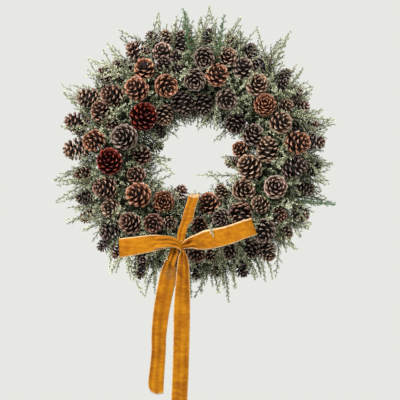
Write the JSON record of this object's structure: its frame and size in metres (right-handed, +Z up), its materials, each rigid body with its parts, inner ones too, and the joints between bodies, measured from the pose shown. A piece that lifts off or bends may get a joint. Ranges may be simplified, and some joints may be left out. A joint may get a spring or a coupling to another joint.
{
  "type": "pine cone wreath",
  "caption": "Round door wreath of open pine cones and juniper sprigs on a straw ring, with a velvet ribbon slung round its lower edge and tied in a bow with long tails.",
  "frame": {"origin": "on the wall, at the top of the nail that the wire loop hangs on", "axes": "+Z up along the wreath's length, from the tails to the wire loop; +Y into the wall, through the wreath's depth; the wreath faces -Y"},
  "size_m": [0.4687, 0.1187, 0.6646],
  "materials": {
    "cone_brown": "dry open scales",
    "cone_dark": "dry open scales",
    "cone_grey": "dry open scales",
    "cone_orange": "dry open scales",
    "cone_pink": "dry open scales",
    "cone_red": "dry open scales",
    "cone_tan": "dry open scales",
    "juniper": "matt foliage",
    "straw": "bound straw",
    "velvet": "velvet pile",
    "wire": "lacquered wire"
  },
  "bodies": {
    "root": {"base_ring": "straw", "cones_bottom": "cone_brown", "cones_bottom_left": "cone_dark", "cones_bottom_right_a": "cone_grey", "cones_bottom_right_b": "cone_tan", "cones_inner_bottom": "cone_orange", "cones_inner_left": "cone_grey", "cones_inner_lower_left": "cone_orange", "cones_inner_right_a": "cone_pink", "cones_inner_right_b": "cone_tan", "cones_inner_right_c": "cone_grey", "cones_inner_top": "cone_grey", "cones_inner_top_right": "cone_grey", "cones_inner_upper_left": "cone_red", "cones_left_a": "cone_orange", "cones_left_b": "cone_red", "cones_left_lower": "cone_brown", "cones_left_upper": "cone_tan", "cones_lower_left_a": "cone_brown", "cones_lower_left_b": "cone_dark", "cones_lower_right_a": "cone_brown", "cones_lower_right_b": "cone_grey", "cones_right_a": "cone_dark", "cones_right_b": "cone_orange", "cones_right_lower": "cone_tan", "cones_right_upper": "cone_tan", "cones_top_centre": "cone_dark", "cones_top_left": "cone_brown", "cones_top_right": "cone_grey", "cones_upper_left_a": "cone_grey", "cones_upper_left_b": "cone_orange", "cones_upper_left_c": "cone_orange", "cones_upper_right_a": "cone_grey", "cones_upper_right_b": "cone_orange", "cones_upper_right_c": "cone_dark", "hanging_wire": "wire", "juniper_bottom_right": "juniper", "juniper_inner_left": "juniper", "juniper_inner_right": "juniper", "juniper_inner_top": "juniper", "juniper_left": "juniper", "juniper_left_lower": "juniper", "juniper_left_upper": "juniper", "juniper_lower_left": "juniper", "juniper_lower_right": "juniper", "juniper_right": "juniper", "juniper_right_lower": "juniper", "juniper_right_upper": "juniper", "juniper_top": "juniper", "juniper_top_centre_left": "juniper", "juniper_top_centre_right": "juniper", "juniper_top_left": "juniper", "juniper_top_right": "juniper", "juniper_upper_right": "juniper", "ribbon_knot": "velvet", "ribbon_loop_left": "velvet", "ribbon_loop_right": "velvet", "ribbon_sling": "velvet", "ribbon_tail_left": "velvet", "ribbon_tail_right": "velvet"}
  },
  "joints": []
}
